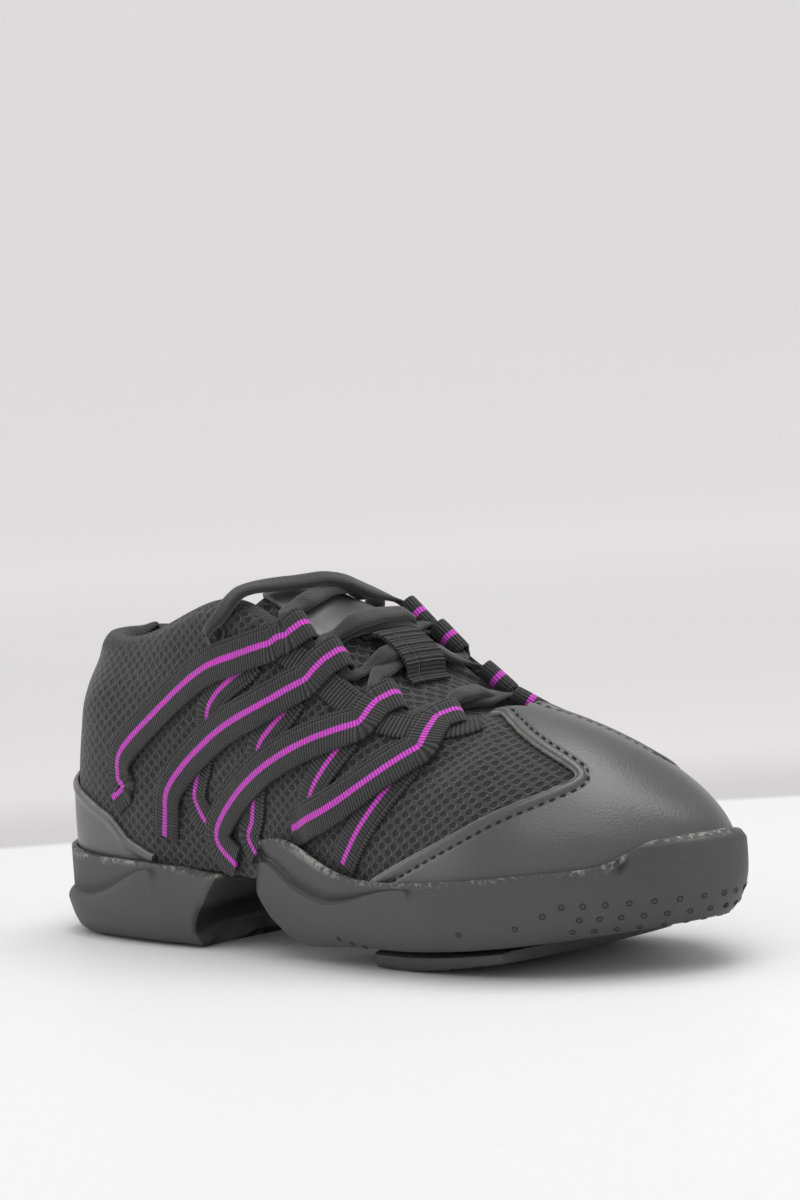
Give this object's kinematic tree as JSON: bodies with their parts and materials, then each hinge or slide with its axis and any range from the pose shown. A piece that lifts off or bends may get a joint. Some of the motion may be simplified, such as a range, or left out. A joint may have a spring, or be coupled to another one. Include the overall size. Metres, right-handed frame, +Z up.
{
  "type": "dance sneaker",
  "caption": "Right lace-up dance sneaker with a split sole, mesh upper, leather toe cap and heel counter, and webbing straps that end in lace loops.",
  "frame": {"origin": "on the floor under the middle of the shoe's bounding box", "axes": "+X to the toe, +Y to the inner (medial) side, +Z up"},
  "size_m": [0.2626, 0.0954, 0.1147],
  "materials": {
    "mesh": "open mesh knit",
    "sole_rubber": "matte",
    "insole_cloth": "cloth",
    "leather": "satin grain",
    "lace_knit": "knit",
    "eyelet_plastic": "satin",
    "webbing": "ribbed webbing with a purple stripe"
  },
  "bodies": {
    "root": {"eyelet_lateral": "eyelet_plastic", "eyelet_medial": "eyelet_plastic", "eyestay_lateral": "webbing", "eyestay_medial": "webbing", "forefoot_unit": "sole_rubber", "heel_counter": "leather", "heel_unit": "sole_rubber", "insole": "insole_cloth", "lace": "lace_knit", "lace_end_medial": "lace_knit", "lace_keeper": "webbing", "stay_1_lateral": "webbing", "stay_1_medial": "webbing", "stay_2_lateral": "webbing", "stay_2_medial": "webbing", "stay_3_lateral": "webbing", "stay_3_medial": "webbing", "stay_4_lateral": "webbing", "stay_4_medial": "webbing", "strap_1_lateral": "webbing", "strap_1_medial": "webbing", "strap_2_lateral": "webbing", "strap_2_medial": "webbing", "strap_3_lateral": "webbing", "strap_3_medial": "webbing", "strap_4_lateral": "webbing", "strap_4_medial": "webbing", "toe_cap": "leather", "tongue": "mesh", "tongue_patch": "leather", "tread_pad": "sole_rubber", "upper": "mesh"}
  },
  "joints": []
}
